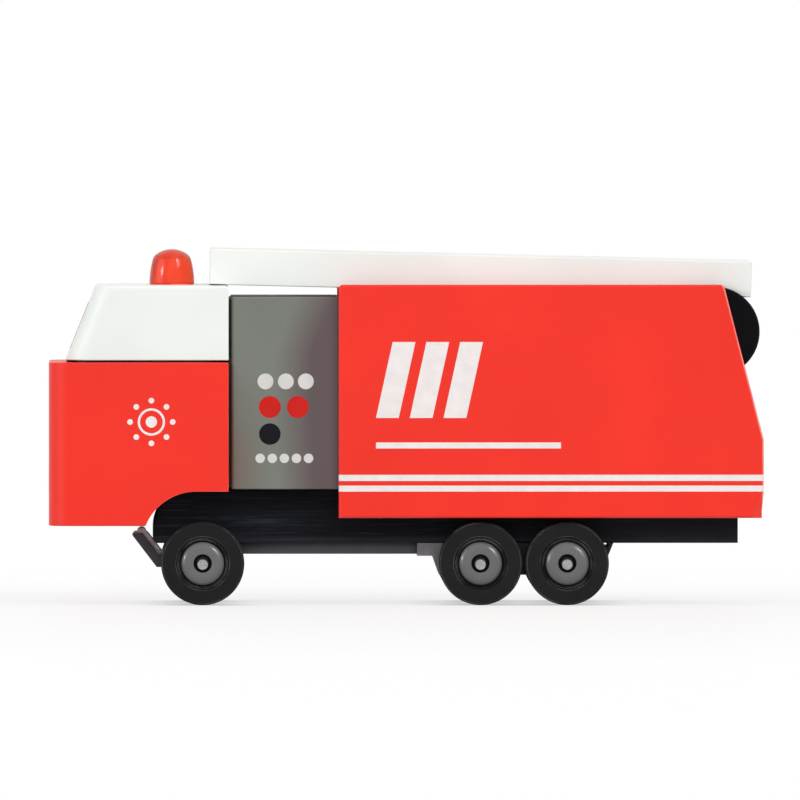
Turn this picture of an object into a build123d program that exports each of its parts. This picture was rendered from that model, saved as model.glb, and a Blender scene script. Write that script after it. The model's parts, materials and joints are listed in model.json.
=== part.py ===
from build123d import *
from math import acos, atan2, cos, hypot, radians, sin, tan
import os

# Wooden toy fire engine, in millimetres.
# The floor is Z = 0, the origin is the middle of the footprint, and the front is towards -X.
# Seen from the driver's seat, left is -Y and right is +Y.

# ---- lengths along X, from the front to the back ------------------------------------------
cab_length = 53.95
cab_gap = 0.7  # joint between the cab and the pump block
pump_length = 32.35
body_length = 127.55
chassis_setback = 31.25  # chassis end behind the cab's front
chassis_nose_radius = 11.8
chassis_chin_radius = 1.4
chassis_edge_radius = 0.8
chassis_inset = 7.5  # chassis end in front of the body's rear edge

# ---- widths along Y -----------------------------------------------------------------------
chassis_width = 40.0
core_width = 56.0
panel_thickness = 5.0
cab_width = 64.0
cab_roof_width = 62.4
pump_width = 60.0

# ---- heights along Z ----------------------------------------------------------------------
panel_height = 70.0
panel_clearance = 1.2  # wheel tops to the panels' lower edges
panel_overlap = 8.6  # how far the panels reach down over the chassis
chassis_height = 16.35
cab_skirt = 11.0  # how far the cab reaches down past the top of the chassis
cab_lower_height = 49.1
cab_roof_height = 23.05
pump_height = 57.8
boom_clearance = 0.6  # the core's top below the boom

# ---- cab ----------------------------------------------------------------------------------
cab_corner_radius = 7.0
cab_edge_radius = 0.4
arch_radius = 16.4
arch_shift = 1.9  # arch centre in front of the front axle
arch_lap = 0.65  # top of the arch below the top of the chassis
slot_fit = 0.2  # round the chassis, inside the cab
seam_height = 0.55  # shadow joint between the cab's two blocks
seam_depth = 4.0
roof_setback = 5.0  # foot of the windscreen behind the cab's front
windscreen_lean = 9.1  # how far the windscreen leans back from its foot to the roof
roof_corner_radius = 6.0
roof_edge_radius = 1.0

# ---- beacon -------------------------------------------------------------------------------
beacon_radius = 6.75
beacon_height = 10.7
beacon_setback = 37.0  # beacon centre behind the cab's front
beacon_waist_radius = 6.4
beacon_waist_height = 4.75
beacon_shoulder_radius = 5.55
beacon_shoulder_height = 8.4
beacon_edge_radius = 3.0
beacon_foot_chamfer = 0.3
peg_radius = 3.0
peg_length = 6.0
peg_fit = 0.05

# ---- pump block ---------------------------------------------------------------------------
pump_corner_radius = 1.2
pump_edge_radius = 0.5
joint_depth = 5.0  # the joint with the cab is open this far in from the block's sides

# ---- rear body ----------------------------------------------------------------------------
slant_length = 11.95  # how far the upper corner lies in front of the rear edge
slant_height = 46.5
foot_length = 0.55  # the rear edge draws in towards its foot
foot_height = 2.5  # straight part of the foot
foot_slope_height = 5.4
facet_length = 3.6  # corner planed off the outer face at the foot
facet_height = 8.0
facet_depth = 1.2
panel_corner_radius = 1.2
panel_edge_radius = 0.7
core_inset = 0.8  # the core's back in front of the panels' rear edges

# ---- boom and its drum --------------------------------------------------------------------
drum_radius = 13.5
drum_side_gap = 0.6
drum_gap = 1.2  # drum to the hollow in the core
drum_chamfer = 0.5
drum_seat_height = 10.55  # flat that carries the boom, above the pivot
pivot_setback = 14.6  # pivot in front of the body's rear edge
pivot_height = 82.05
pin_radius = 2.0
pin_reach = 3.4  # into each panel
pin_hole_spare = 0.3
pin_fit = 0.03
drum_fit = 0.06
boom_lap = 5.6  # plank in front of the roof's rear edge
boom_tail = 10.7  # plank behind the pivot
boom_width = 50.0
boom_thickness = 10.75
boom_rest_gap = 0.1
boom_edge_radius = 0.4

# ---- wheels and axles ---------------------------------------------------------------------
wheel_radius = 12.5
wheel_width = 9.0
wheel_inner_gap = 1.0  # wheel to the undercarriage
front_axle_setback = 46.2  # behind the cab's front
rear_axle_setback = 155.65
bogie_wheelbase = 26.05  # between the middle and rear axles
tyre_chamfer = 0.4
tyre_lip_radius = 8.05
tyre_lip_slope = 0.5
tyre_lip_depth = 0.9
tyre_bead_radius = 7.05  # raised bead between the lip and the hub
tyre_bead_width = 0.5
tyre_bead_height = 0.35
tyre_groove_depth = 1.9  # between the bead and the hub
hub_radius = 6.4
hub_fit = 0.02
hub_back_inset = 0.5
hub_face_inset = 0.2  # behind the tyre's face
hub_flat_radius = 4.0
hub_shoulder_drop = 0.9  # the face curves back this far towards its edge
recess_radius = 2.75
recess_chamfer = 0.2
recess_depth = 4.0
hub_bore_radius = 1.5
axle_radius = 1.1
axle_rest_gap = 0.05
axle_fit = 0.03
axle_head_radius = 1.65
axle_head_length = 3.1
axle_head_chamfer = 0.15
axle_head_gap = 0.1

# ---- undercarriage ------------------------------------------------------------------------
spine_height = 3.3
spine_width = 34.0
bearing_bottom = 8.9  # lowest face, above the floor
front_bearing_length = 15.0
bogie_shelf_reach = 18.9  # bogie's front end in front of the middle axle
bogie_shelf_drop = 0.55  # the bogie's shelf below the spine
bogie_front_reach = 12.3  # bogie's foot in front of the middle axle
bogie_lean = 2.0  # the bogie's front face leans by this
bogie_rear_reach = 6.8  # start of the slot under the chassis, behind the rear axle
strut_slot_height = 1.2
strut_thickness = 1.4
strut_reach = 14.0  # strut's head behind the rear axle
strut_lean = 3.9
bearing_rib = 4.6  # solid across each axle
pocket_wall = 2.0
pocket_depth = 6.0
pocket_pad_width = 10.0  # solid along the middle, between the pockets
arm_reach = 21.1  # arm's front corner in front of the front axle
arm_angle = radians(52.6)
arm_width = 30.0
arm_plate = 2.7  # the arm's plate, thickness
arm_nose_depth = 1.05  # corner cut off the plate's head
arm_nose_height = 0.8
arm_rib = 1.4  # rib behind the plate, thickness
arm_rib_inset = 0.8  # the rib's ends inside the plate's
arm_head_step = 1.35  # the rib's round head above the plate's head
arm_gap = 0.95  # round head to the cab's underside
arm_foot_height = 11.15  # above the floor
link_top = 16.0
link_bottom = 14.2

# ---- places worked out from the sizes -----------------------------------------------------
front_x = -(cab_length + cab_gap + pump_length + body_length) / 2
cab_rear_x = front_x + cab_length
pump_front_x = cab_rear_x + cab_gap
body_front_x = pump_front_x + pump_length
rear_x = body_front_x + body_length

panel_bottom_z = 2 * wheel_radius + panel_clearance
panel_top_z = panel_bottom_z + panel_height
chassis_top_z = panel_bottom_z + panel_overlap
chassis_bottom_z = chassis_top_z - chassis_height
cab_bottom_z = chassis_top_z - cab_skirt
cab_seam_z = cab_bottom_z + cab_lower_height
arch_top_z = chassis_top_z - arch_lap
roof_z = cab_seam_z + cab_roof_height
core_top_z = min(pivot_height + drum_seat_height, roof_z) - boom_clearance

chassis_front_x = front_x + chassis_setback
chassis_rear_x = rear_x - chassis_inset
slant_top_x = rear_x - slant_length
slant_foot_z = panel_top_z - slant_height
beacon_x = front_x + beacon_setback
pivot_x = rear_x - pivot_setback

front_axle_x = front_x + front_axle_setback
rear_axle_x = front_x + rear_axle_setback
middle_axle_x = rear_axle_x - bogie_wheelbase
axle_drop = hub_bore_radius - axle_radius - axle_rest_gap  # the axles lie low in the hubs
axle_z = wheel_radius - axle_drop

undercarriage_width = chassis_width
wheel_inner_y = undercarriage_width / 2 + wheel_inner_gap
wheel_mid_y = wheel_inner_y + wheel_width / 2

# The boom's underside passes just over the roof's rear edge and sits on the drum's flat.
roof_edge_rise = roof_z + boom_rest_gap - pivot_height
roof_edge_run = pivot_x - cab_rear_x
boom_tilt = acos(drum_seat_height / hypot(roof_edge_rise, roof_edge_run)) - atan2(roof_edge_run, roof_edge_rise)
boom_reach = roof_edge_run * cos(boom_tilt) + roof_edge_rise * sin(boom_tilt) + boom_lap
boom_length = boom_reach + boom_tail
boom_plane = Plane(
    origin=(pivot_x, 0, pivot_height),
    x_dir=(cos(boom_tilt), 0, -sin(boom_tilt)),
    z_dir=(0, -1, 0),
)

sides = {"left": -1, "right": 1}
axle_places = {"front": front_axle_x, "middle": middle_axle_x, "rear": rear_axle_x}

os.makedirs("parts", exist_ok=True)


def save(part, name):
    """Label a finished piece and write it as a STEP file of the same name."""
    part.label = name
    export_step(part, f"parts/{name}.step")


# ---- chassis: a plain bar, rounded at its front end ---------------------------------------
with BuildPart() as chassis:
    with BuildSketch(Plane.XZ) as chassis_side:
        with BuildLine():
            Polyline(
                (chassis_front_x, chassis_bottom_z),
                (chassis_rear_x, chassis_bottom_z),
                (chassis_rear_x, chassis_top_z),
                (chassis_front_x, chassis_top_z),
                close=True,
            )
        make_face()
        front_corners = chassis_side.vertices().group_by(Axis.X)[0].sort_by(Axis.Y)
        fillet(front_corners[-1], radius=chassis_nose_radius)
        front_corners = chassis_side.vertices().group_by(Axis.X)[0].sort_by(Axis.Y)
        fillet(front_corners[0], radius=chassis_chin_radius)
    extrude(amount=chassis_width / 2, both=True)
    underside = chassis.faces().sort_by(Axis.Z)[0]
    fillet(underside.edges().filter_by(Axis.X), radius=chassis_edge_radius)
save(chassis.part, "chassis")


# ---- cab: a red block with the wheel arch, and a white block with the leaning windscreen ---
arch_x = front_axle_x - arch_shift
arch_z = arch_top_z - arch_radius
arch_foot_x = arch_x - (arch_radius**2 - (cab_bottom_z - arch_z) ** 2) ** 0.5

with BuildPart() as cab_lower:
    with BuildSketch(Plane.XZ):
        with BuildLine():
            Polyline(
                (arch_foot_x, cab_bottom_z),
                (front_x, cab_bottom_z),
                (front_x, cab_seam_z),
                (cab_rear_x, cab_seam_z),
                (cab_rear_x, arch_top_z),
                (arch_x, arch_top_z),
            )
            RadiusArc((arch_foot_x, cab_bottom_z), (arch_x, arch_top_z), arch_radius)
        make_face()
    extrude(amount=cab_width / 2, both=True)
    front_corners = cab_lower.edges().filter_by(Axis.Z).group_by(Axis.X)[0]
    fillet(front_corners, radius=cab_corner_radius)
    fillet(cab_lower.faces().sort_by(Axis.Z)[-1].edges(), radius=cab_edge_radius)
    fillet(cab_lower.faces().sort_by(Axis.Z)[0].edges(), radius=cab_edge_radius)
    with BuildSketch(Plane.XZ) as chassis_slot:
        with BuildLine():
            Polyline(
                (chassis_front_x - slot_fit, chassis_bottom_z),
                (cab_rear_x, chassis_bottom_z),
                (cab_rear_x, chassis_top_z),
                (chassis_front_x - slot_fit, chassis_top_z),
                close=True,
            )
        make_face()
        slot_front = chassis_slot.vertices().group_by(Axis.X)[0].sort_by(Axis.Y)[-1]
        fillet(slot_front, radius=chassis_nose_radius)
    extrude(amount=chassis_width / 2 + slot_fit, both=True, mode=Mode.SUBTRACT)
save(cab_lower.part, "cab_lower")

roof_front_x = front_x + roof_setback
beacon_seat = Plane((beacon_x, 0, roof_z))

with BuildPart() as cab_upper:
    with BuildSketch(Plane.XZ):
        with BuildLine():
            Polyline(
                (roof_front_x, cab_seam_z + seam_height),
                (roof_front_x + windscreen_lean, roof_z),
                (cab_rear_x, roof_z),
                (cab_rear_x, cab_seam_z + seam_height),
                close=True,
            )
        make_face()
    extrude(amount=cab_roof_width / 2, both=True)
    windscreen = cab_upper.faces().sort_by(Axis.X)[0]
    fillet(windscreen.edges().filter_by(Axis.Y, reverse=True), radius=roof_corner_radius)
    fillet(cab_upper.faces().sort_by(Axis.Z)[-1].edges(), radius=roof_edge_radius)
    fillet(cab_upper.faces().sort_by(Axis.Z)[0].edges(), radius=cab_edge_radius)
    with BuildSketch(Plane.XY.offset(cab_seam_z)):
        with Locations(((roof_front_x + cab_rear_x) / 2, 0)):
            plinth_length = cab_rear_x - roof_front_x - 2 * seam_depth
            RectangleRounded(plinth_length, cab_roof_width - 2 * seam_depth, roof_corner_radius - seam_depth)
    extrude(amount=seam_height)
    with BuildSketch(beacon_seat):
        Circle(peg_radius + peg_fit)
    extrude(amount=-(peg_length + pin_hole_spare), mode=Mode.SUBTRACT)
save(cab_upper.part, "cab_upper")


# ---- beacon: a tapered dome on a peg -------------------------------------------------------
beacon_axis = Axis((beacon_x, 0, roof_z), (0, 0, 1))
# The top is an arc about a point on the axis, through the shoulder and the crown.
crown_drop = beacon_height - beacon_shoulder_height
crown_radius = (beacon_shoulder_radius**2 + crown_drop**2) / (2 * crown_drop)

with BuildPart() as beacon:
    with BuildSketch(Plane((beacon_x, 0, roof_z), x_dir=(1, 0, 0), z_dir=(0, -1, 0))) as dome_half:
        with BuildLine():
            Polyline(
                (0, beacon_height),
                (0, -peg_length),
                (peg_radius, -peg_length),
                (peg_radius, 0),
                (beacon_radius - beacon_foot_chamfer, 0),
                (beacon_radius, beacon_foot_chamfer),
            )
            ThreePointArc(
                (beacon_radius, beacon_foot_chamfer),
                (beacon_waist_radius, beacon_waist_height),
                (beacon_shoulder_radius, beacon_shoulder_height),
            )
            RadiusArc((0, beacon_height), (beacon_shoulder_radius, beacon_shoulder_height), crown_radius)
        make_face()
        shoulder = dome_half.vertices().sort_by_distance((beacon_shoulder_radius, beacon_shoulder_height))[0]
        fillet(shoulder, radius=beacon_edge_radius)
    revolve(axis=beacon_axis)
save(beacon.part, "beacon")


# ---- pump block: stands on the chassis between the cab and the body ------------------------
with BuildPart() as pump_block:
    with BuildSketch(Plane.XY.offset(chassis_top_z)) as pump_plan:
        with BuildLine():
            Polyline(
                (pump_front_x, -pump_width / 2),
                (body_front_x, -pump_width / 2),
                (body_front_x, pump_width / 2),
                (pump_front_x, pump_width / 2),
                close=True,
            )
        make_face()
        fillet(pump_plan.vertices().group_by(Axis.X)[0], radius=pump_corner_radius)
    extrude(amount=pump_height)
    fillet(pump_block.faces().sort_by(Axis.Z)[-1].edges(), radius=pump_edge_radius)
    fillet(pump_block.faces().sort_by(Axis.Z)[0].edges(), radius=pump_edge_radius)
    with BuildSketch(Plane.YZ.offset(pump_front_x)):
        with Locations((0, chassis_top_z + pump_edge_radius)):
            pad_height = pump_height - 2 * pump_edge_radius
            Rectangle(pump_width - 2 * joint_depth, pad_height, align=(Align.CENTER, Align.MIN))
    extrude(amount=-cab_gap)
save(pump_block.part, "pump_block")


# ---- rear body: a core with the drum's hollow, between two side panels ---------------------
with BuildPart() as body_core:
    with BuildSketch(Plane.XZ):
        with BuildLine():
            slant_run = slant_length * (core_top_z - slant_foot_z) / slant_height
            Polyline(
                (body_front_x, chassis_top_z),
                (rear_x - core_inset, chassis_top_z),
                (rear_x - core_inset, slant_foot_z),
                (rear_x - core_inset - slant_run, core_top_z),
                (body_front_x, core_top_z),
                close=True,
            )
        make_face()
        with Locations((pivot_x, pivot_height)):
            Circle(drum_radius + drum_gap, mode=Mode.SUBTRACT)
    extrude(amount=core_width / 2, both=True)
save(body_core.part, "body_core")

for side_name, side in sides.items():
    inner_plane = Plane.XZ.offset(-side * core_width / 2)
    with BuildPart() as panel:
        with BuildSketch(inner_plane) as panel_side:
            with BuildLine():
                Polyline(
                    (body_front_x, panel_bottom_z),
                    (rear_x - foot_length, panel_bottom_z),
                    (rear_x - foot_length, panel_bottom_z + foot_height),
                    (rear_x, panel_bottom_z + foot_height + foot_slope_height),
                    (rear_x, slant_foot_z),
                    (slant_top_x, panel_top_z),
                    (body_front_x, panel_top_z),
                    close=True,
                )
            make_face()
            fillet(panel_side.vertices().group_by(Axis.Y)[-1], radius=panel_corner_radius)
        extrude(amount=-side * panel_thickness)
        outer_face = panel.faces().filter_by(Plane.XZ).sort_by(Axis.Y)[0 if side < 0 else -1]
        fillet(outer_face.edges(), radius=panel_edge_radius)
        # The lower rear corner is planed off through three points, two on the outer face and one behind it.
        outer_y = side * (core_width / 2 + panel_thickness)
        facet_top = Vector(rear_x, outer_y, panel_bottom_z + facet_height)
        facet_front = Vector(rear_x - facet_length, outer_y, panel_bottom_z)
        facet_back = Vector(rear_x, outer_y - side * facet_depth, panel_bottom_z)
        facet_normal = (facet_front - facet_top).cross(facet_back - facet_top)
        facet_plane = Plane(origin=facet_top, z_dir=facet_normal)
        split(bisect_by=facet_plane, keep=Keep.BOTTOM if side < 0 else Keep.TOP)
        with BuildSketch(inner_plane):
            with Locations((pivot_x, pivot_height)):
                Circle(pin_radius + pin_fit)
        extrude(amount=-side * (pin_reach + pin_hole_spare), mode=Mode.SUBTRACT)
    save(panel.part, f"body_panel_{side_name}")


# ---- boom: a plank seated in a notch across the drum, which turns on a steel pin -----------
drum_length = core_width - 2 * drum_side_gap

with BuildPart() as boom:
    with BuildSketch(boom_plane):
        with Locations((-boom_reach, drum_seat_height)):
            Rectangle(boom_length, boom_thickness, align=(Align.MIN, Align.MIN))
    extrude(amount=boom_width / 2, both=True)
    fillet(boom.edges(), radius=boom_edge_radius)
save(boom.part, "boom")

with BuildPart() as boom_drum:
    with BuildSketch(boom_plane):
        Circle(drum_radius)
    extrude(amount=drum_length / 2, both=True)
    chamfer(boom_drum.edges().filter_by(GeomType.CIRCLE), length=drum_chamfer)
    with BuildSketch(boom_plane):
        Circle(pin_radius + drum_fit)
    extrude(amount=drum_length / 2, both=True, mode=Mode.SUBTRACT)
    with BuildSketch(boom_plane):
        with Locations((0, drum_seat_height)):
            Rectangle(2 * drum_radius, drum_radius, align=(Align.CENTER, Align.MIN))
    extrude(amount=boom_width / 2, both=True, mode=Mode.SUBTRACT)
save(boom_drum.part, "boom_drum")

with BuildPart() as pivot_pin:
    with BuildSketch(Plane.XZ):
        with Locations((pivot_x, pivot_height)):
            Circle(pin_radius)
    extrude(amount=core_width / 2 + pin_reach, both=True)
save(pivot_pin.part, "pivot_pin")


# ---- undercarriage: one moulding that carries the three axles ------------------------------
spine_bottom_z = chassis_bottom_z - spine_height
front_bearing_x = front_axle_x - front_bearing_length / 2
front_bearing_rear_x = front_bearing_x + front_bearing_length
bogie_shelf_x = middle_axle_x - bogie_shelf_reach
bogie_shelf_z = spine_bottom_z - bogie_shelf_drop
bogie_foot_x = middle_axle_x - bogie_front_reach
bogie_heel_x = rear_axle_x + bogie_rear_reach
slot_z = chassis_bottom_z - strut_slot_height
strut_head_x = rear_axle_x + strut_reach
strut_foot_x = strut_head_x - strut_lean

arm_head_x = front_axle_x - arm_reach
arm_knob_z = cab_bottom_z - arm_gap - arm_rib
arm_top_z = arm_knob_z + arm_rib - arm_head_step
arm_head_z = arm_top_z - arm_nose_height

# Start and end along X of each pair of pockets in the underside.
pocket_spans = (
    (front_bearing_x + pocket_wall, front_axle_x - bearing_rib / 2),
    (front_axle_x + bearing_rib / 2, front_bearing_rear_x - pocket_wall),
    (bogie_foot_x + pocket_wall, middle_axle_x - bearing_rib / 2),
    (middle_axle_x + bearing_rib / 2, rear_axle_x - bearing_rib / 2),
    (rear_axle_x + bearing_rib / 2, strut_foot_x - pocket_wall),
)
pocket_width = (undercarriage_width - pocket_pad_width) / 2 - pocket_wall
pocket_mid_y = (pocket_pad_width + pocket_width) / 2


def arm_x(depth, height):
    """X at a depth behind the arm's sloping front face, measured square to it, and at a height."""
    return arm_head_x + (arm_head_z - height) / tan(arm_angle) + depth / sin(arm_angle)


with BuildPart() as undercarriage:
    with BuildSketch(Plane.XZ):
        with BuildLine():
            Polyline(
                (front_bearing_x, chassis_bottom_z),
                (front_bearing_x, bearing_bottom),
                (front_bearing_rear_x, bearing_bottom),
                (front_bearing_rear_x, chassis_bottom_z),
                close=True,
            )
        make_face()
        with BuildLine():
            Polyline(
                (bogie_shelf_x, chassis_bottom_z),
                (bogie_shelf_x, bogie_shelf_z),
                (bogie_foot_x - bogie_lean, bogie_shelf_z),
                (bogie_foot_x, bearing_bottom),
                (strut_foot_x, bearing_bottom),
                (strut_head_x, chassis_bottom_z),
                (strut_head_x - strut_thickness, chassis_bottom_z),
                (strut_head_x - strut_thickness, slot_z),
                (bogie_heel_x, slot_z),
                (bogie_heel_x, chassis_bottom_z),
                close=True,
            )
        make_face()
    extrude(amount=undercarriage_width / 2, both=True)
    with BuildSketch(Plane.XY.offset(chassis_bottom_z)):
        with Locations((front_bearing_rear_x, 0)):
            Rectangle(bogie_shelf_x - front_bearing_rear_x, spine_width, align=(Align.MIN, Align.CENTER))
    extrude(amount=-spine_height)
    for start_x, end_x in pocket_spans:
        with BuildSketch(Plane.XY.offset(bearing_bottom)):
            with Locations(*[((start_x + end_x) / 2, side * pocket_mid_y) for side in sides.values()]):
                Rectangle(end_x - start_x, pocket_width)
        extrude(amount=pocket_depth, mode=Mode.SUBTRACT)
    # the arm: a plate with a link back to the front bearing, and a rib behind it that ends in a round head
    with BuildSketch(Plane.XZ):
        with BuildLine():
            Polyline(
                (arm_x(0, arm_foot_height), arm_foot_height),
                (arm_head_x, arm_head_z),
                (arm_x(arm_nose_depth, arm_top_z), arm_top_z),
                (arm_x(arm_plate, arm_top_z), arm_top_z),
                (arm_x(arm_plate, link_top), link_top),
                (front_bearing_x, link_top),
                (front_bearing_x, link_bottom),
                (arm_x(arm_plate, link_bottom), link_bottom),
                (arm_x(arm_plate, arm_foot_height), arm_foot_height),
                close=True,
            )
        make_face()
    extrude(amount=arm_width / 2, both=True)
    with BuildSketch(Plane.XZ):
        with BuildLine():
            Polyline(
                (arm_x(arm_nose_depth, link_top), link_top),
                (arm_x(arm_nose_depth, arm_knob_z), arm_knob_z),
                (arm_x(arm_plate + arm_rib, arm_knob_z), arm_knob_z),
                (arm_x(arm_plate + arm_rib, link_top), link_top),
                close=True,
            )
        make_face()
        with Locations((arm_x(arm_plate, arm_knob_z), arm_knob_z)):
            Circle(arm_rib)
    extrude(amount=arm_width / 2 - arm_rib_inset, both=True)
    with BuildSketch(Plane.XZ):
        with Locations(*[(x, axle_z) for x in axle_places.values()]):
            Circle(axle_radius + axle_fit)
    extrude(amount=undercarriage_width / 2, both=True, mode=Mode.SUBTRACT)
save(undercarriage.part, "undercarriage")


# ---- axles: a plain shaft with a flat round head at each end -------------------------------
face_y = wheel_width / 2
hub_face_y = face_y - hub_face_inset
recess_floor_y = hub_face_y - recess_depth
head_inner_y = wheel_mid_y + recess_floor_y + axle_head_gap
head_tip_y = head_inner_y + axle_head_length

for axle_name, axle_x in axle_places.items():
    axle_plane = Plane((axle_x, 0, axle_z), x_dir=(1, 0, 0), z_dir=(0, 0, 1))
    with BuildPart() as axle:
        with BuildSketch(axle_plane):
            with BuildLine():
                for end in sides.values():
                    Polyline(
                        (0, 0),
                        (0, end * head_tip_y),
                        (axle_head_radius - axle_head_chamfer, end * head_tip_y),
                        (axle_head_radius, end * (head_tip_y - axle_head_chamfer)),
                        (axle_head_radius, end * head_inner_y),
                        (axle_radius, end * head_inner_y),
                        (axle_radius, 0),
                    )
            make_face()
        revolve(axis=Axis(axle_plane.origin, (0, 1, 0)))
    save(axle.part, f"axle_{axle_name}")


# ---- wheels: a tyre with a stepped lip round a hub with rounded shoulders ------------------
tyre_bore_radius = hub_radius + hub_fit
tyre_floor_y = face_y - tyre_lip_depth

for axle_name, axle_x in axle_places.items():
    for side_name, side in sides.items():
        # x runs out from the wheel's centre and y runs outwards along its axle
        wheel_plane = Plane(
            origin=(axle_x, side * wheel_mid_y, wheel_radius),
            x_dir=(1, 0, 0),
            z_dir=(0, 0, side),
        )
        wheel_axis = Axis(wheel_plane.origin, (0, 1, 0))

        with BuildPart() as tyre:
            with BuildSketch(wheel_plane) as tyre_half:
                with BuildLine():
                    Polyline(
                        (tyre_bore_radius, -face_y),
                        (wheel_radius, -face_y),
                        (wheel_radius, face_y),
                        (tyre_lip_radius, face_y),
                        (tyre_lip_radius - tyre_lip_slope, tyre_floor_y),
                        (tyre_bead_radius + tyre_bead_width / 2, tyre_floor_y),
                        (tyre_bead_radius, tyre_floor_y + tyre_bead_height),
                        (tyre_bead_radius - tyre_bead_width / 2, face_y - tyre_groove_depth),
                        (tyre_bore_radius, face_y - tyre_groove_depth),
                        close=True,
                    )
                make_face()
                chamfer(tyre_half.vertices().group_by(Axis.X)[-1], length=tyre_chamfer)
            revolve(axis=wheel_axis)
        save(tyre.part, f"tyre_{axle_name}_{side_name}")

        with BuildPart() as hub:
            with BuildSketch(wheel_plane):
                with BuildLine():
                    Polyline(
                        (hub_flat_radius, hub_face_y),
                        (recess_radius + recess_chamfer, hub_face_y),
                        (recess_radius, hub_face_y - recess_chamfer),
                        (recess_radius, recess_floor_y),
                        (hub_bore_radius, recess_floor_y),
                        (hub_bore_radius, -face_y + hub_back_inset),
                        (hub_radius, -face_y + hub_back_inset),
                        (hub_radius, hub_face_y - hub_shoulder_drop),
                    )
                    TangentArc(
                        (hub_flat_radius, hub_face_y),
                        (hub_radius, hub_face_y - hub_shoulder_drop),
                        tangent=(1, 0),
                    )
                make_face()
            revolve(axis=wheel_axis)
        save(hub.part, f"hub_{axle_name}_{side_name}")
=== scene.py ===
import json
import math

import bmesh
import bpy
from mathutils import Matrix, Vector


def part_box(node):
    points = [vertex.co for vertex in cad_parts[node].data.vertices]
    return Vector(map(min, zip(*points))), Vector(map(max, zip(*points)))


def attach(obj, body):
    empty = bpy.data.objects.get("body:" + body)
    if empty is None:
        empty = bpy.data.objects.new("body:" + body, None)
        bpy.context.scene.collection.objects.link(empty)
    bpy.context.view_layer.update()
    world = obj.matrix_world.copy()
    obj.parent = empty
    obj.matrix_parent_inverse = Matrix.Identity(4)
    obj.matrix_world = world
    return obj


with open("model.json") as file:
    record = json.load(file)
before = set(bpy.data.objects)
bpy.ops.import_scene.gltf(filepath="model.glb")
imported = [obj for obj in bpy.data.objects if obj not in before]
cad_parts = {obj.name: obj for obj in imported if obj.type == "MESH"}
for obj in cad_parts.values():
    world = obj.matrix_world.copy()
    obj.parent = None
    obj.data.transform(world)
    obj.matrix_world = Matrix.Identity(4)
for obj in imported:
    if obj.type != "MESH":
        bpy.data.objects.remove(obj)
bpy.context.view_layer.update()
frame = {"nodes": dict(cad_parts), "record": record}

# Wooden toy fire engine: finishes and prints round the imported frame. Metres throughout.
# The front is towards -X, +Z is up, and the left side (-Y) faces the camera.

MM = 0.001
INK = 0.03 * MM  # how far a print stands off the paint
SIDES = (("left", -1), ("right", 1))  # name, sign of Y

panel_low, panel_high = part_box("body_panel_left")
cab_low, cab_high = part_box("cab_lower")
roof_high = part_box("cab_upper")[1]
pump_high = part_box("pump_block")[1]
under_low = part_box("undercarriage")[0]
chassis_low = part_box("chassis")[0]
bogie_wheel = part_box("tyre_middle_left")[0]


def srgb(red, green, blue):
    """Linear colour for a display colour given in 0 to 255."""
    def linear(value):
        value /= 255
        return value / 12.92 if value <= 0.04045 else ((value + 0.055) / 1.055) ** 2.4
    return (linear(red), linear(green), linear(blue), 1.0)


def scaled(colour, factor):
    """A colour made darker or lighter."""
    return tuple(channel * factor for channel in colour[:3]) + (1.0,)


WHITE = (1.0, 1.0, 1.0, 1.0)
BLACK = (0.0, 0.0, 0.0, 1.0)
PAINTED_SHADE = srgb(14, 9, 9)  # painted shade for joints, hollows and shaded places

# Edges count as sharp, and crevices as deep, between these values.
EDGE_FLAT, EDGE_SHARP = 0.995, 0.88  # cosine between the rounded normal and the true one
CREVICE_DEEP, CREVICE_CLEAR = 0.12, 0.62  # share of the view that is open


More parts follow.
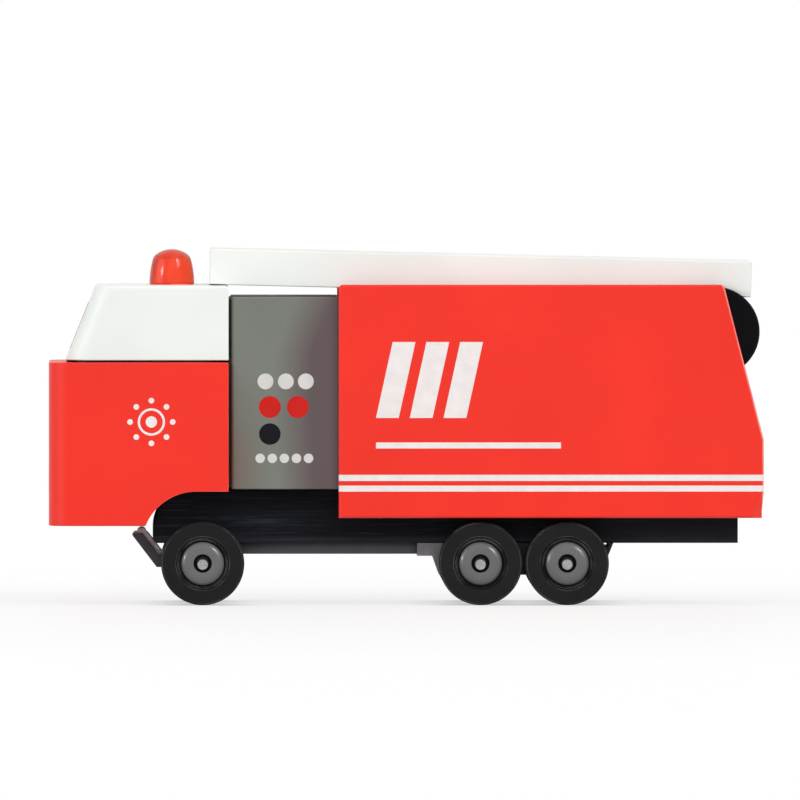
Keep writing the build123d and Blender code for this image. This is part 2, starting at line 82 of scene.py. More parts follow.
# ---- node helpers ---------------------------------------------------------------------------
class Shader:
    """A material with a Principled shader and short ways to add nodes to it."""

    def __init__(self, name):
        self.material = bpy.data.materials.new(name)
        self.material.use_nodes = True
        self.tree = self.material.node_tree
        self.principled = self.tree.nodes["Principled BSDF"]
        self.object_coordinates = self.node("ShaderNodeTexCoord").outputs["Object"]

    def node(self, kind, **settings):
        made = self.tree.nodes.new(kind)
        for key, value in settings.items():
            setattr(made, key, value)
        return made

    def link(self, source, target):
        self.tree.links.new(source, target)

    def set(self, **values):
        """Sets the shader's own sockets, with _ for a space in a socket's name."""
        for key, value in values.items():
            self.principled.inputs[key.replace("_", " ")].default_value = value

    def colour(self, source):
        self.link(source, self.principled.inputs["Base Color"])

    def roughness(self, noise, low, high):
        """Roughness that wanders from low to high with a noise."""
        self.link(self.span(noise, 0.3, 0.7, low, high), self.principled.inputs["Roughness"])

    def stretched(self, stretch, shift=(0, 0, 0)):
        """Object coordinates scaled along each axis, then shifted."""
        mapping = self.node("ShaderNodeMapping")
        mapping.inputs["Scale"].default_value = stretch
        mapping.inputs["Location"].default_value = shift
        self.link(self.object_coordinates, mapping.inputs["Vector"])
        return mapping.outputs["Vector"]

    def axes(self):
        """Object coordinates as three separate values."""
        split = self.node("ShaderNodeSeparateXYZ")
        self.link(self.object_coordinates, split.inputs["Vector"])
        return split.outputs["X"], split.outputs["Y"], split.outputs["Z"]

    def dot(self, first, second):
        """The dot product of a vector socket with a vector or another vector socket."""
        made = self.node("ShaderNodeVectorMath", operation="DOT_PRODUCT")
        self.link(first, made.inputs[0])
        if isinstance(second, bpy.types.NodeSocket):
            self.link(second, made.inputs[1])
        else:
            made.inputs[1].default_value = second
        return made.outputs["Value"]

    def facing(self):
        """The surface's own normal."""
        return self.node("ShaderNodeNewGeometry").outputs["Normal"]

    def noise(self, scale, detail=3.0, roughness=0.55, stretch=(1, 1, 1)):
        made = self.node("ShaderNodeTexNoise")
        made.inputs["Scale"].default_value = scale
        made.inputs["Detail"].default_value = detail
        made.inputs["Roughness"].default_value = roughness
        self.link(self.stretched(stretch), made.inputs["Vector"])
        return made.outputs["Fac"]

    def span(self, value, low, high, to_low=0.0, to_high=1.0):
        """Maps value from low..high to to_low..to_high, clamped."""
        made = self.node("ShaderNodeMapRange", clamp=True)
        numbers = {"From Min": low, "From Max": high, "To Min": to_low, "To Max": to_high}
        for key, number in numbers.items():
            made.inputs[key].default_value = number
        self.link(value, made.inputs["Value"])
        return made.outputs["Result"]

    def maths(self, operation, first, second):
        made = self.node("ShaderNodeMath", operation=operation)
        for slot, value in enumerate((first, second)):
            if isinstance(value, (int, float)):
                made.inputs[slot].default_value = value
            else:
                self.link(value, made.inputs[slot])
        return made.outputs["Value"]

    def mix(self, factor, first, second):
        """Colour between first and second; each is a colour or a socket."""
        made = self.node("ShaderNodeMix", data_type="RGBA")
        factor_in, first_in, second_in = made.inputs[0], made.inputs[6], made.inputs[7]
        for socket, value in ((factor_in, factor), (first_in, first), (second_in, second)):
            if isinstance(value, bpy.types.NodeSocket):
                self.link(value, socket)
            else:
                socket.default_value = value
        return made.outputs[2]

    def mottled(self, noise, first, second):
        """Soft patches of two close colours."""
        return self.mix(self.span(noise, 0.35, 0.65), first, second)

    def edges(self, radius):
        """1 on edges sharper than radius, 0 on flat faces."""
        bevel = self.node("ShaderNodeBevel", samples=4)
        bevel.inputs["Radius"].default_value = radius
        alike = self.dot(bevel.outputs["Normal"], self.facing())
        return self.span(alike, EDGE_FLAT, EDGE_SHARP)

    def crevices(self, reach, clear=CREVICE_CLEAR):
        """1 deep in joints, 0 where more than the share clear of the view within reach is open."""
        occlusion = self.node("ShaderNodeAmbientOcclusion", samples=6)
        occlusion.inputs["Distance"].default_value = reach
        return self.span(occlusion.outputs["AO"], CREVICE_DEEP, clear, 1.0, 0.0)

    def with_painted_shade(self, reach, colour, shade_colour=PAINTED_SHADE):
        """The colour with painted shade in its joints and hollows."""
        return self.mix(self.crevices(reach), colour, shade_colour)

    def bump(self, *layers):
        """Chains bumps; each layer is (height socket, strength, distance)."""
        normal = None
        for height, strength, distance in layers:
            made = self.node("ShaderNodeBump")
            made.inputs["Strength"].default_value = strength
            made.inputs["Distance"].default_value = distance
            self.link(height, made.inputs["Height"])
            if normal is not None:
                self.link(normal, made.inputs["Normal"])
            normal = made.outputs["Normal"]
        self.link(normal, self.principled.inputs["Normal"])


# ---- finishes: paint ------------------------------------------------------------------------
# Noise scales are in waves a metre, so 1000 is a pattern of about a millimetre.
MOTTLE_SCALE = 26
GRAIN_SCALE = 420
GRAIN_STRETCH = (0.05, 1, 1)  # wood grain runs along X
GRAIN_HEIGHT = 0.05 * MM
PEEL_SCALE = 950
GLOSS_SCALE = 70
PALE_EDGE_SCALE = 160
PALE_EDGE_RADIUS = 0.45 * MM
REAR_SLANT = math.radians(14.4)  # the panels' upper rear edges lean forwards by this
REAR_SCALE = 90


def wood_grain(shader):
    return shader.noise(GRAIN_SCALE, detail=4, stretch=GRAIN_STRETCH)


def rubbed_and_lit_edges(shader, least, most):
    """Sharp edges, rubbed pale unevenly between least and most, which is also a painted highlight
    along them.
    """
    uneven = shader.span(shader.noise(PALE_EDGE_SCALE), 0.42, 0.68, least, most)
    return shader.maths("MULTIPLY", shader.edges(PALE_EDGE_RADIUS), uneven)


def rear_edge_highlight(shader):
    """A painted highlight: 1 on the rounding between a panel's side and its slanted rear edge, 0 on
    both faces.
    """
    rearwards = (math.cos(REAR_SLANT), 0, math.sin(REAR_SLANT))
    turned = shader.dot(shader.facing(), rearwards)
    off_side, off_rear = shader.span(turned, 0.25, 0.5), shader.span(turned, 0.97, 0.85)
    uneven = shader.span(shader.noise(REAR_SCALE), 0.3, 0.5, 0.45, 1)
    return shader.maths("MULTIPLY", shader.maths("MULTIPLY", off_side, off_rear), uneven)


def paint(name, colour, worn_and_lit, roughness, gloss=0.3, wear_and_light=0.35, grain=0.05, rear_highlight=0.0):
    """Sprayed paint on close-grained wood: faint grain, orange peel, rubbed edges that also carry a
    painted highlight, and painted shade in its joints.

    The last argument is how much more a slanted rear edge is lightened, as a painted highlight.
    """
    shader = Shader(name)
    base = shader.mottled(shader.noise(MOTTLE_SCALE, detail=2), scaled(colour, 0.93), colour)
    # edges are lightened: partly rubbed paint, partly a painted highlight
    wear_and_highlight_share = shader.maths("MULTIPLY", rubbed_and_lit_edges(shader, 0.25, 1), wear_and_light)
    # a painted highlight along the slanted rear edges
    if rear_highlight:
        rear_highlight_share = shader.maths("MULTIPLY", rear_edge_highlight(shader), rear_highlight)
        wear_and_highlight_share = shader.maths("MAXIMUM", wear_and_highlight_share, rear_highlight_share)
    shader.colour(shader.with_painted_shade(2 * MM, shader.mix(wear_and_highlight_share, base, worn_and_lit)))
    shader.roughness(shader.noise(GLOSS_SCALE, detail=4), roughness - 0.05, roughness + 0.06)
    shader.set(Specular_IOR_Level=gloss)
    peel = shader.noise(PEEL_SCALE, detail=2)
    shader.bump((wood_grain(shader), grain, GRAIN_HEIGHT), (peel, 0.04, 0.04 * MM))
    return shader.material


# Where painted reflections lie on the pump block's silver: of the red body towards the body, and of
# the red cab low by the cab.
RED_REFLECTION_START, RED_REFLECTION_END = -39 * MM, -28 * MM
REFLECTION_WANDER = 1.5 * MM  # how far that line wanders
REFLECTION_LEAN = -6 * MM  # how far it lies further back at the block's top
LEAN_START, LEAN_END = 76 * MM, 92 * MM
CAB_REFLECTION_TOP, CAB_REFLECTION_FULL = 70 * MM, 45 * MM
CAB_REFLECTION_START, CAB_REFLECTION_END = -41 * MM, -51 * MM


def silver_paint():
    """Metallic grey paint, sprayed unevenly, with painted reflections of the red body and the red
    cab, and painted shade in its joints.
    """
    shader = Shader("grey_paint")
    along, _, height = shader.axes()
    streaky = shader.noise(38, detail=2, stretch=(1, 1, 0.3))
    wander = shader.span(streaky, 0.3, 0.7, -REFLECTION_WANDER, REFLECTION_WANDER)
    lean = shader.span(height, LEAN_START, LEAN_END, 0, REFLECTION_LEAN)
    place = shader.maths("ADD", shader.maths("ADD", along, wander), lean)
    # painted reflection of the red body panels
    red_reflection = shader.span(place, RED_REFLECTION_START, RED_REFLECTION_END)
    low = shader.span(height, CAB_REFLECTION_TOP, CAB_REFLECTION_FULL)
    forwards = shader.span(along, CAB_REFLECTION_START, CAB_REFLECTION_END)
    mottle = shader.noise(MOTTLE_SCALE, detail=2)
    base = shader.mottled(mottle, srgb(113, 117, 109), srgb(120, 123, 116))
    # painted reflection of the red cab, low and towards the front
    with_cab_reflection = shader.mix(shader.maths("MULTIPLY", low, forwards), base, srgb(113, 103, 93))
    with_reflections = shader.mix(red_reflection, with_cab_reflection, srgb(93, 81, 82))
    worn_and_lit = shader.mix(rubbed_and_lit_edges(shader, 0.1, 0.4), with_reflections, srgb(150, 150, 144))
    shader.colour(shader.with_painted_shade(1.5 * MM, worn_and_lit))
    shader.roughness(shader.noise(GLOSS_SCALE, detail=4), 0.33, 0.44)
    shader.set(Specular_IOR_Level=0.3, Metallic=0.3)
    flake = shader.noise(3200, detail=1)
    shader.bump((wood_grain(shader), 0.04, GRAIN_HEIGHT), (flake, 0.05, 0.02 * MM))
    return shader.material


# Where the chassis's stain is painted lighter, as painted light: along its lower edge, and towards
# the rear.
LOWER_LIGHT_TOP, LOWER_LIGHT_FULL = chassis_low.z + 2.4 * MM, chassis_low.z + 1.2 * MM
REAR_LIGHT_START, REAR_LIGHT_END = 10 * MM, 60 * MM


def stained_wood():
    """Open-grained wood under a black stain, with open pores and a few pale fibres."""
    shader = Shader("black_stain")
    fibres = shader.noise(900, detail=6, roughness=0.65, stretch=(0.035, 1, 1))
    bands = shader.noise(170, detail=3, stretch=(0.06, 1, 1))
    pores = shader.span(shader.noise(1500, detail=2, stretch=(0.03, 1, 1)), 0.60, 0.72)
    base = shader.mix(shader.span(bands, 0.3, 0.7), srgb(9, 11, 15), srgb(20, 22, 28))
    streaked = shader.mix(shader.span(fibres, 0.52, 0.72, 0, 0.8), base, srgb(54, 56, 66))
    pored = shader.mix(shader.maths("MULTIPLY", pores, 0.7), streaked, srgb(6, 6, 8))
    along, _, height = shader.axes()
    # painted light: lighter along the lower edge and towards the rear
    lower_edge = shader.span(height, LOWER_LIGHT_TOP, LOWER_LIGHT_FULL, 0, 0.7)
    rearwards = shader.span(along, REAR_LIGHT_START, REAR_LIGHT_END, 0, 0.45)
    painted_light = shader.maths("MAXIMUM", lower_edge, rearwards)
    shader.colour(shader.mix(painted_light, pored, srgb(42, 42, 48)))
    shader.roughness(fibres, 0.42, 0.62)
    shader.set(Specular_IOR_Level=0.06)
    shader.bump((fibres, 0.35, 0.12 * MM), (pores, 0.25, 0.08 * MM))
    return shader.material


# ---- finishes: rubber and plastic -----------------------------------------------------------
def rubber():
    """Matt black rubber with a little dust, a painted highlight round its rims and painted shade in
    its hollows.
    """
    shader = Shader("tyre_rubber")
    grit = shader.noise(2600, detail=3)
    cloud = shader.noise(140, detail=3)
    dust = shader.span(shader.noise(2100, detail=1), 0.74, 0.80)
    base = shader.mottled(cloud, srgb(14, 15, 15), srgb(20, 21, 21))
    dusted = shader.mix(shader.maths("MULTIPLY", dust, 0.25), base, srgb(120, 120, 118))
    # a painted highlight along the rims
    uneven = shader.span(shader.noise(130), 0.42, 0.6, 0.08, 1.0)
    rim = shader.maths("MULTIPLY", shader.edges(0.35 * MM), uneven)
    rimmed = shader.mix(rim, dusted, srgb(112, 115, 114))
    shader.colour(shader.with_painted_shade(2 * MM, rimmed, shade_colour=srgb(5, 6, 6)))
    shader.roughness(cloud, 0.5, 0.62)
    shader.set(Specular_IOR_Level=0.15)
    shader.bump((grit, 0.12, 0.03 * MM))
    return shader.material


ARM_ANGLE = math.radians(52.6)  # how far the front arm leans back
ARM_HEAD_DROP = 3.1 * MM  # its head is this far below the cab
ARM_PLATE = 2.7 * MM  # and its plate this thick
ARM_REAR = -70 * MM  # the painted highlight on the arm stays forward of this
ARM_FOOT = 15 * MM  # and above this
HEAD_FOOT = cab_low.z - 2.5 * MM  # the round head starts here

# Along X, from the front of the middle wheels: the bogie's shelf, which gets a painted highlight,
# and where the painted shade sets in.
SHELF_START, SHELF_END = bogie_wheel.x - 6.6 * MM, bogie_wheel.x
UNDER_SHADE_START, UNDER_SHADE_END = bogie_wheel.x + 10 * MM, bogie_wheel.x + 19 * MM


def arm_rib(shader):
    """1 on the front arm's rib and round head, 0 elsewhere."""
    slope = (math.sin(ARM_ANGLE), 0, math.cos(ARM_ANGLE))
    face = slope[0] * under_low.x + slope[2] * (cab_low.z - ARM_HEAD_DROP)
    across = shader.dot(shader.object_coordinates, slope)
    along, _, height = shader.axes()
    rib = shader.span(across, face + ARM_PLATE, face + ARM_PLATE + 0.3 * MM)
    head = shader.span(height, HEAD_FOOT, HEAD_FOOT + 0.4 * MM)
    forward = shader.span(along, ARM_REAR, ARM_REAR - 2 * MM)
    above = shader.span(height, ARM_FOOT, ARM_FOOT + 2 * MM)
    on_arm = shader.maths("MULTIPLY", forward, above)
    return shader.maths("MULTIPLY", shader.maths("MAXIMUM", rib, head), on_arm)


def undercarriage_light_and_shade(shader, colour):
    """Painted highlights on the arm's rib and the bogie's shelf, and painted shade from the middle
    wheels back.
    """
    along = shader.axes()[0]
    # painted shade from the middle wheels back
    shaded = shader.mix(shader.span(along, UNDER_SHADE_START, UNDER_SHADE_END, 0, 0.85), colour, PAINTED_SHADE)
    behind_start = shader.span(along, SHELF_START, SHELF_START + 0.4 * MM, 0, 0.2)
    before_end = shader.span(along, SHELF_END + 2 * MM, SHELF_END)
    shelf = shader.maths("MULTIPLY", behind_start, before_end)
    patchy = shader.span(shader.noise(420, detail=3), 0.3, 0.7, 0.6, 0.95)
    # painted highlights on the arm's rib and the bogie's shelf
    painted_highlights = shader.maths("MULTIPLY", shader.maths("MAXIMUM", arm_rib(shader), shelf), patchy)
    return shader.mix(painted_highlights, shaded, srgb(226, 224, 232))


def moulded(name, colour, roughness, reach, gloss=0.5, speck=0.1, wear_and_light=None):
    """Injection-moulded plastic with a faint texture, a painted highlight on its sharp edges and
    painted shade in its joints.

    reach is how far the painted shade reaches into joints and hollows, and the last argument, when
    given, changes the finished colour.
    """
    shader = Shader(name)
    base = shader.mottled(shader.noise(120, detail=3), colour, scaled(colour, 1.12))
    # a painted highlight on sharp edges
    edge = shader.maths("MULTIPLY", shader.edges(0.25 * MM), 0.25)
    finished = shader.with_painted_shade(reach, shader.mix(edge, base, srgb(150, 150, 150)))
    if wear_and_light:
        finished = wear_and_light(shader, finished)
    shader.colour(finished)
    shader.roughness(shader.noise(300, detail=4), roughness - 0.05, roughness + 0.08)
    shader.set(Specular_IOR_Level=gloss)
    shader.bump((shader.noise(2200, detail=2), speck, 0.02 * MM))
    return shader.material


def clear_red():
    """Tinted clear plastic: mostly clear, with a little scatter inside."""
    shader = Shader("beacon_plastic")
    flow = shader.noise(160, detail=2, stretch=(1, 1, 0.3))
    shader.colour(shader.mottled(flow, srgb(255, 54, 18), srgb(255, 92, 44)))
    shader.roughness(shader.noise(500, detail=3), 0.09, 0.14)
    shader.set(Transmission_Weight=0.75, IOR=1.4)
    shader.bump((flow, 0.05, 0.1 * MM))
    return shader.material


# ---- finishes: steel and ink ----------------------------------------------------------------
def steel():
    """Plain steel with fine scratches and dull pits."""
    shader = Shader("steel")
    scratch = shader.noise(1800, detail=4)
    pits = shader.span(shader.noise(2400, detail=3), 0.55, 0.7)
    base = shader.mottled(scratch, srgb(146, 146, 146), srgb(180, 180, 179))
    shader.colour(shader.mix(shader.maths("MULTIPLY", pits, 0.45), base, srgb(120, 120, 122)))
    shader.roughness(scratch, 0.28, 0.48)
    shader.set(Metallic=0.85)
    shader.bump((scratch, 0.25, 0.03 * MM))
    return shader.material


def ink(name, colour, roughness=0.42):
    """Screen-printed ink, slightly uneven, with pinholes."""
    shader = Shader(name)
    cloud = shader.noise(240, detail=4)
    pinholes = shader.span(shader.noise(1900, detail=2), 0.70, 0.76)
    base = shader.mottled(cloud, scaled(colour, 0.92), colour)
    shader.colour(shader.mix(shader.maths("MULTIPLY", pinholes, 0.25), base, scaled(colour, 0.7)))
    shader.roughness(cloud, roughness - 0.05, roughness + 0.06)
    shader.set(Specular_IOR_Level=0.1)
    shader.bump((shader.noise(900, detail=3), 0.05, 0.03 * MM))
    return shader.material


# By the slots' names in the record.
finishes = {
    "red_paint": paint("red_paint", srgb(239, 44, 28), srgb(255, 150, 130), 0.36,
                       wear_and_light=0.45, rear_highlight=0.8),
    "white_paint": paint("white_paint", srgb(233, 237, 233), srgb(246, 246, 240), 0.34, grain=0.03),
    "boom_paint": paint("boom_paint", srgb(236, 239, 235), srgb(244, 243, 238), 0.42, grain=0.06),
    "grey_paint": silver_paint(),
    "black_paint": paint("black_paint", srgb(8, 9, 14), srgb(50, 50, 56), 0.4, gloss=0.06),
    "black_stain": stained_wood(),
    "beacon_plastic": clear_red(),
    "undercarriage_plastic": moulded("undercarriage_plastic", srgb(67, 67, 72), 0.4, 13 * MM,
                                     gloss=0.2, wear_and_light=undercarriage_light_and_shade),
    "tyre_rubber": rubber(),
    "hub_plastic": moulded("hub_plastic", srgb(91, 92, 92), 0.2, 3 * MM, speck=0.04),
    "steel": steel(),
}
white_ink = ink("white_ink", srgb(236, 230, 228))
pale_ink = ink("pale_ink", srgb(210, 209, 206))
red_ink = ink("red_ink", srgb(200, 34, 30))
black_ink = ink("black_ink", srgb(18, 19, 25))
glass_ink = ink("glass_ink", srgb(24, 26, 32), roughness=0.2)

for row in frame["record"]["subparts"]:
    slots = frame["nodes"][row["node"]].data.materials
    slots.clear()
    slots.append(finishes[row["material_slot"]])


# ---- mesh helpers ---------------------------------------------------------------------------
def piece(name, shape, material, body):
    """A finished piece made from a bmesh, riding on a body and with its finish from a slot."""
    bmesh.ops.recalc_face_normals(shape, faces=shape.faces)
    mesh = bpy.data.meshes.new(name)
    shape.to_mesh(mesh)
    shape.free()
    mesh.materials.append(material)
    made = bpy.data.objects.new(name, mesh)
    bpy.context.scene.collection.objects.link(made)
    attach(made, body)


def arc(centre, radius, start, end, steps):
    """Points along an arc, angles in degrees."""
    points = []
    for step in range(steps + 1):
        angle = math.radians(start + (end - start) * step / steps)
        points.append((centre[0] + radius * math.cos(angle), centre[1] + radius * math.sin(angle)))
    return points


def disc(x, z, radius, corners=64):
    return arc((x, z), radius, 0, 360 - 360 / corners, corners - 1)


def ring(x, z, inner, outer, corners):
    """A flat ring as a row of sectors."""
    inside, outside = disc(x, z, inner, corners), disc(x, z, outer, corners)
    sectors = []
    for index in range(corners):
        after = (index + 1) % corners
        sectors.append([inside[index], outside[index], outside[after], inside[after]])
    return sectors


def rounded(corners, radius, steps=6):
    """An outline of (x, y) corners with each corner rounded."""
    outline = []
    for index, place in enumerate(corners):
        corner = Vector(place)
        before = (Vector(corners[index - 1]) - corner).normalized()
        after = (Vector(corners[(index + 1) % len(corners)]) - corner).normalized()
        half_angle = before.angle(after) / 2
        centre = corner + (before + after).normalized() * radius / math.sin(half_angle)
        start = corner + before * radius / math.tan(half_angle) - centre
        end = corner + after * radius / math.tan(half_angle) - centre
        start_angle = math.degrees(math.atan2(start.y, start.x))
        turn = math.degrees(start.angle_signed(end))
        outline += arc(centre, radius, start_angle, start_angle - turn, steps)
    return outline


def flat_print(name, outlines, place, material, body):
    """Outlines as thin slabs of ink. place(u, v, w) gives a point of the frame."""
    shape = bmesh.new()
    for outline in outlines:
        under = [shape.verts.new(place(u, v, -INK)) for u, v in outline]
        over = [shape.verts.new(place(u, v, INK)) for u, v in outline]
        shape.faces.new(over)
        shape.faces.new(under[::-1])
        for index in range(len(outline)):
            after = (index + 1) % len(outline)
            shape.faces.new((under[index], under[after], over[after], over[index]))
    piece(name, shape, material, body)


def side_plane(side, y):
    """Points of a vertical side face: u runs along X, v is the height, w stands off the face."""
    return lambda u, v, w: (u, side * (y + w), v)


# ---- camera ---------------------------------------------------------------------------------
# Where the camera aims, how wide it sees there, how far off it stands and at what angles.
LOOK_AT = Vector((-1.89 * MM, panel_low.y, 61.65 * MM))
VIEW_WIDTH = 240 * MM
CAMERA_DISTANCE = 8.0
CAMERA_ELEVATION = math.radians(0.9)
CAMERA_TURN = math.radians(0.6)  # towards the front
SENSOR = 36.0
FAR_CLIP = 100


def make_camera():
    data = bpy.data.cameras.new("camera")
    data.sensor_width = SENSOR
    data.lens = SENSOR * CAMERA_DISTANCE / VIEW_WIDTH
    data.clip_end = FAR_CLIP
    camera = bpy.data.objects.new("camera", data)
    bpy.context.scene.collection.objects.link(camera)
    level = math.cos(CAMERA_ELEVATION)
    back = Vector((
        -math.sin(CAMERA_TURN) * level,
        -math.cos(CAMERA_TURN) * level,
        math.sin(CAMERA_ELEVATION),
    ))
    camera.location = LOOK_AT + back * CAMERA_DISTANCE
    camera.rotation_mode = "QUATERNION"
    camera.rotation_quaternion = (-back).to_track_quat("-Z", "Y")
    bpy.context.scene.camera = camera


# ---- light ----------------------------------------------------------------------------------
# What falls on the object from all round: at the horizon, and how much more from straight above.
HORIZON_LIGHT = 0.415
OVERHEAD_LIGHT = 0.27

# Soft distant lamps: name, where each stands, strength, spread in degrees, if it shows in gloss.
LAMPS = (
    ("front", (0.05, -1.0, 0.55), 0.68, 45, False),
    ("key", (0.55, -0.8, 0.65), 0.54, 16, True),
    ("fill", (-0.89, -0.40, 0.28), 0.55, 44, True),
    ("glint", (-0.80, -0.56, 0.24), 0.4, 9, True),
    ("side", (0.55, -0.70, 0.42), 0.38, 20, True),
    ("back", (-0.25, 0.9, 0.3), 0.35, 30, False),
)


def make_sun(name, towards, strength, spread, glossy):
    data = bpy.data.lights.new(name, "SUN")
    data.energy = strength
    data.angle = math.radians(spread)
    lamp = bpy.data.objects.new(name, data)
    lamp.visible_glossy = glossy
    bpy.context.scene.collection.objects.link(lamp)
    lamp.rotation_mode = "QUATERNION"
    lamp.rotation_quaternion = Vector(towards).to_track_quat("Z", "Y")


def seen_directly(tree):
    """1 where the camera sees something straight, in a reflection or through clear plastic."""
    path = tree.nodes.new("ShaderNodeLightPath")
    total = path.outputs["Is Camera Ray"]
    for name in ("Is Glossy Ray", "Is Transmission Ray"):
        more = tree.nodes.new("ShaderNodeMath")
        more.operation = "MAXIMUM"
        tree.links.new(total, more.inputs[0])
        tree.links.new(path.outputs[name], more.inputs[1])
        total = more.outputs["Value"]
    return total


def make_world():
    """Soft light from all round that is seen as plain white."""
    world = bpy.data.worlds.new("studio")
    bpy.context.scene.world = world
    world.use_nodes = True
    tree = world.node_tree
    soft = tree.nodes["Background"]
    soft.inputs["Color"].default_value = WHITE
    direction = tree.nodes.new("ShaderNodeTexCoord")
    split = tree.nodes.new("ShaderNodeSeparateXYZ")
    tree.links.new(direction.outputs["Generated"], split.inputs["Vector"])
    height = tree.nodes.new("ShaderNodeMapRange")
    height.clamp = True
    height.inputs["To Min"].default_value = HORIZON_LIGHT
    height.inputs["To Max"].default_value = HORIZON_LIGHT + OVERHEAD_LIGHT
    tree.links.new(split.outputs["Z"], height.inputs["Value"])
    tree.links.new(height.outputs["Result"], soft.inputs["Strength"])
    white = tree.nodes.new("ShaderNodeBackground")
    white.inputs["Color"].default_value = WHITE
    white.inputs["Strength"].default_value = 1.0
    mix = tree.nodes.new("ShaderNodeMixShader")
    tree.links.new(seen_directly(tree), mix.inputs["Fac"])
    tree.links.new(soft.outputs["Background"], mix.inputs[1])
    tree.links.new(white.outputs["Background"], mix.inputs[2])
    tree.links.new(mix.outputs["Shader"], tree.nodes["World Output"].inputs["Surface"])


# ---- floor ----------------------------------------------------------------------------------
FLOOR_WIDTH = 16
FLOOR_LIFT = 0.78  # how far the seen floor is drawn towards white
FLOOR_SEEN = (0.95, 0.96, 0.96, 1.0)
FLOOR_UNSEEN = (0.62, 0.62, 0.62, 1.0)  # to the light that it sends back to the object
FLOOR_SHEEN = 0.05  # how much of it is a soft reflection
FLOOR_ROUGHNESS = 0.35
FLOOR_GLOW = 1.02  # so that it meets the white background without a line
# Painted shade: how much darker the seen floor is round the object than far off, and where that
# starts and ends.
FLOOR_SHADE = 0.05
SHADE_FAR, SHADE_FULL = 0.6, 0.1
SHADE_STRETCH, SHADE_SHIFT = (1.4, 1, 0), (0, 0.12, 0)
# A painted contact shadow: how much darker it is close round the tyres, and within what reach of
# them.
FLOOR_CONTACT = 0.5
CONTACT_REACH = 14 * MM


def make_floor():
    """A pale table. Where it is seen it is lifted towards white; it keeps the shadow, and painted
    shade darkens it round the object and close round the tyres.
    """
    bpy.ops.mesh.primitive_plane_add(size=FLOOR_WIDTH)
    floor = bpy.context.object
    floor.name = "floor"
    shader = Shader("floor_white")
    tree = shader.tree
    tree.nodes.remove(shader.principled)
    distance = shader.node("ShaderNodeVectorMath", operation="LENGTH")
    shader.link(shader.stretched(SHADE_STRETCH, SHADE_SHIFT), distance.inputs[0])
    around = shader.span(distance.outputs["Value"], SHADE_FAR, SHADE_FULL, 0, FLOOR_SHADE)
    near_tyres = shader.crevices(CONTACT_REACH, clear=1.0)
    contact = shader.maths("MULTIPLY", near_tyres, FLOOR_CONTACT)
    seen = seen_directly(tree)
    matt = shader.node("ShaderNodeBsdfDiffuse")
    shader.link(shader.mix(seen, FLOOR_UNSEEN, FLOOR_SEEN), matt.inputs["Color"])
    glow = shader.node("ShaderNodeEmission")
    # painted shade round the object and a painted contact shadow round the tyres
    tone = shader.mix(shader.maths("MAXIMUM", around, contact), WHITE, BLACK)
    shader.link(tone, glow.inputs["Color"])
    glow.inputs["Strength"].default_value = FLOOR_GLOW
    sheen = shader.node("ShaderNodeBsdfGlossy")
    sheen.inputs["Color"].default_value = WHITE
    sheen.inputs["Roughness"].default_value = FLOOR_ROUGHNESS
    surface = matt.outputs["BSDF"]
    layers = ((FLOOR_LIFT, glow.outputs["Emission"]), (FLOOR_SHEEN, sheen.outputs["BSDF"]))
    for share, over in layers:
        mix = shader.node("ShaderNodeMixShader")
        shader.link(shader.maths("MULTIPLY", seen, share), mix.inputs["Fac"])
        shader.link(surface, mix.inputs[1])
        shader.link(over, mix.inputs[2])
        surface = mix.outputs["Shader"]
    shader.link(surface, tree.nodes["Material Output"].inputs["Surface"])
    floor.data.materials.append(shader.material)


make_camera()
make_world()
for lamp_name, towards, strength, spread, glossy in LAMPS:
    make_sun(lamp_name, towards, strength, spread, glossy)
make_floor()
bpy.context.scene.view_settings.view_transform = "Standard"


# ---- prints: the body's stripes and marks ---------------------------------------------------
PANEL_OUT = -panel_low.y  # the panels' outer faces, from the middle
PANEL_EDGE = 0.7 * MM  # rounding of the panels' outer edges
EDGE_STEPS = 8
STRIPES = ((37.35 * MM, 39.2 * MM), (34.17 * MM, 35.97 * MM))  # lower and upper edges
MARK_BARS = 3
MARK_LEFT, MARK_RIGHT = -9.1 * MM, 23.0 * MM
MARK_LOW, MARK_HIGH = 56.25 * MM, 79.05 * MM
MARK_SLANT = 5.0 * MM
MARK_GAP = 3.3 * MM
RULE_RIGHT = 46.4 * MM
RULE_LOW, RULE_HIGH = 47.1 * MM, 48.9 * MM


def plan_path(side, off):
    """The panel's outer face in plan, with its rounded edges, at a distance off the paint."""
    centre_y = PANEL_OUT - PANEL_EDGE
    radius = PANEL_EDGE + off
    front = arc((panel_low.x + PANEL_EDGE, centre_y), radius, 180, 90, EDGE_STEPS)
    rear = arc((panel_high.x - PANEL_EDGE, centre_y), radius, 90, 0, EDGE_STEPS)
    return [(x, side * y) for x, y in front + rear]


def wrapped_stripe(name, side, low, high):
    """A painted band along the whole panel that turns over its front and rear edges."""
    shape = bmesh.new()
    rows = []
    for off, height in ((-INK, low), (INK, low), (INK, high), (-INK, high)):
        rows.append([shape.verts.new((x, y, height)) for x, y in plan_path(side, off)])
    for row, above in zip(rows, rows[1:] + rows[:1]):
        for index in range(len(row) - 1):
            shape.faces.new((row[index], row[index + 1], above[index + 1], above[index]))
    for end in (0, -1):
        shape.faces.new([row[end] for row in rows])
    piece(name, shape, white_ink, "root")


def slanted_bars():
    """Leaning bars that fill the mark's place."""
    room = MARK_RIGHT - MARK_LEFT - MARK_SLANT - (MARK_BARS - 1) * MARK_GAP
    width = room / MARK_BARS
    outlines = []
    for number in range(MARK_BARS):
        left = MARK_LEFT + number * (width + MARK_GAP)
        outlines.append([
            (left, MARK_LOW),
            (left + width, MARK_LOW),
            (left + width + MARK_SLANT, MARK_HIGH),
            (left + MARK_SLANT, MARK_HIGH),
        ])
    return outlines


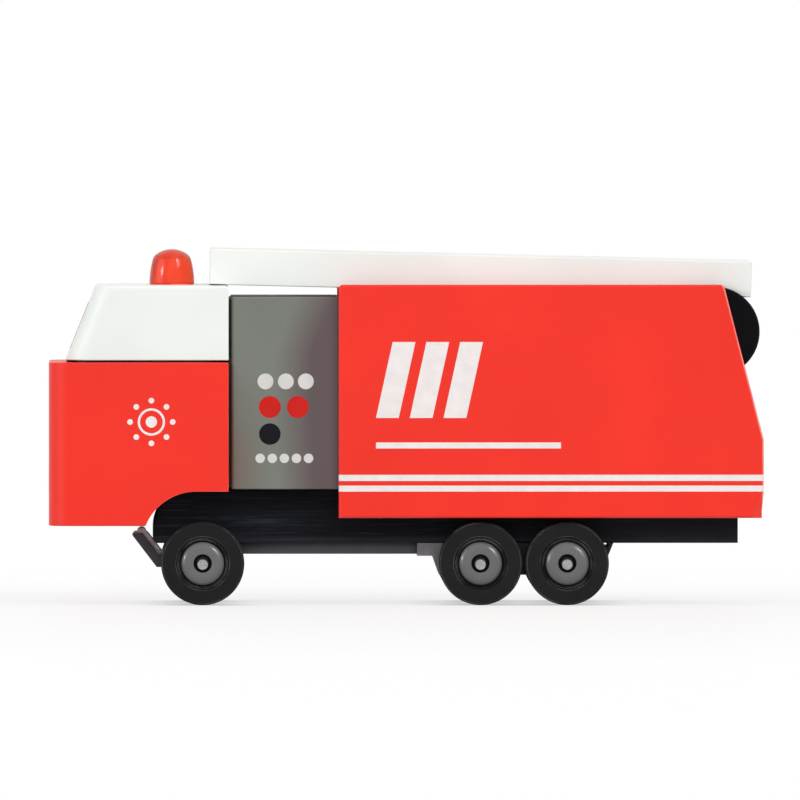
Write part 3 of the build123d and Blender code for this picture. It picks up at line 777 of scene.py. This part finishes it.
rule = [
    (MARK_LEFT, RULE_LOW),
    (RULE_RIGHT, RULE_LOW),
    (RULE_RIGHT, RULE_HIGH),
    (MARK_LEFT, RULE_HIGH),
]

for side_name, side in SIDES:
    for number, (low, high) in enumerate(STRIPES):
        wrapped_stripe(f"stripe_{side_name}_{number}", side, low, high)
    on_panel = side_plane(side, PANEL_OUT)
    flat_print(f"mark_{side_name}", slanted_bars(), on_panel, white_ink, "root")
    flat_print(f"rule_{side_name}", [rule], on_panel, white_ink, "root")


# ---- prints: a rosette on each side of the cab ----------------------------------------------
ROSETTE_X, ROSETTE_Z = -76.47 * MM, 55.05 * MM
ROSETTE_DISC = 1.7 * MM  # radius
ROSETTE_INNER, ROSETTE_OUTER = 3.4 * MM, 4.1 * MM  # the ring's radii
ROSETTE_CIRCLE = 6.4 * MM  # radius of the circle of dots
ROSETTE_DOT = 0.85 * MM
ROSETTE_DOTS = 8
ROSETTE_CORNERS = 64
DOT_CORNERS = 32


def rosette():
    outlines = [disc(ROSETTE_X, ROSETTE_Z, ROSETTE_DISC)]
    outlines += ring(ROSETTE_X, ROSETTE_Z, ROSETTE_INNER, ROSETTE_OUTER, ROSETTE_CORNERS)
    for x, z in disc(ROSETTE_X, ROSETTE_Z, ROSETTE_CIRCLE, ROSETTE_DOTS):
        outlines.append(disc(x, z, ROSETTE_DOT, DOT_CORNERS))
    return outlines


for side_name, side in SIDES:
    on_cab = side_plane(side, cab_high.y)
    flat_print(f"rosette_{side_name}", rosette(), on_cab, white_ink, "root")


# ---- prints: buttons on the pump block ------------------------------------------------------
# Rows of printed buttons: centre X of each, height, diameter in millimetres, ink.
BUTTON_ROWS = (
    ((-42.24, -36.12, -30.12), 67.2, 4.74, pale_ink),
    ((-40.92, -32.52), 59.5, 6.6, red_ink),
    ((-40.92,), 51.4, 6.45, black_ink),
    ((-43.83, -40.2, -36.57, -32.94, -29.31), 44.1, 2.85, pale_ink),
)

for side_name, side in SIDES:
    on_pump = side_plane(side, pump_high.y)
    for row_number, (centres, height, diameter, material) in enumerate(BUTTON_ROWS):
        buttons = [disc(x * MM, height * MM, diameter / 2 * MM) for x in centres]
        name = f"buttons_{side_name}_{row_number}"
        flat_print(name, buttons, on_pump, material, "root")


# ---- painted shade: a black ring deep in each hub, where shade falls ------------------------
RECESS_FLOOR = 4.2 * MM  # behind the tyre's outer face
RECESS_INNER, RECESS_OUTER = 1.75 * MM, 2.7 * MM
RECESS_CORNERS = 48

for axle_name in ("front", "middle", "rear"):
    for side_name, side in SIDES:
        wheel = f"{axle_name}_{side_name}"
        low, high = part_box(f"tyre_{wheel}")
        centre = (low + high) / 2
        # a black ring of painted shade on the hub's floor
        recess_shade = ring(centre.x, centre.z, RECESS_INNER, RECESS_OUTER, RECESS_CORNERS)
        in_hub = side_plane(side, max(abs(low.y), abs(high.y)) - RECESS_FLOOR)
        flat_print(f"recess_{wheel}", recess_shade, in_hub, black_ink, f"wheel_{wheel}")


# ---- prints: windscreen and lamps on the cab's front ----------------------------------------
ROOF_SETBACK = 5.0 * MM  # foot of the windscreen's face behind the cab's front
WINDSCREEN_LEAN = 9.1 * MM
SEAM_HEIGHT = 0.55 * MM
GLASS_LOW, GLASS_HIGH = 3.6 * MM, 18.6 * MM  # up the leaning face
GLASS_INNER, GLASS_OUTER = 0.9 * MM, 23.0 * MM  # from the middle
GLASS_TAPER = 1.2 * MM  # how much narrower a pane is at its top
GLASS_CORNER = 1.6 * MM
LAMP_Y, LAMP_Z, LAMP_RADIUS = 20.0 * MM, 38.0 * MM, 4.5 * MM

foot = Vector((cab_low.x + ROOF_SETBACK, 0, cab_high.z + SEAM_HEIGHT))
head = Vector((foot.x + WINDSCREEN_LEAN, 0, roof_high.z))
up_face = (head - foot).normalized()
off_face = Vector((-up_face.z, 0, up_face.x))


def on_windscreen(u, v, w):
    """u runs across the cab, v up the leaning face, w stands off it."""
    return foot + Vector((0, u, 0)) + up_face * v + off_face * w


def on_cab_front(u, v, w):
    """u runs across the cab, v is the height, w stands off the front."""
    return (cab_low.x - w, u, v)


def pane(side):
    near, far = side * GLASS_INNER, side * GLASS_OUTER
    top_far = far - side * GLASS_TAPER
    corners = [(near, GLASS_LOW), (far, GLASS_LOW), (top_far, GLASS_HIGH), (near, GLASS_HIGH)]
    return rounded(corners, GLASS_CORNER)


panes = [pane(side) for _, side in SIDES]
flat_print("windscreen", panes, on_windscreen, glass_ink, "root")
lamps = [disc(side * LAMP_Y, LAMP_Z, LAMP_RADIUS) for _, side in SIDES]
flat_print("lamps", lamps, on_cab_front, pale_ink, "root")
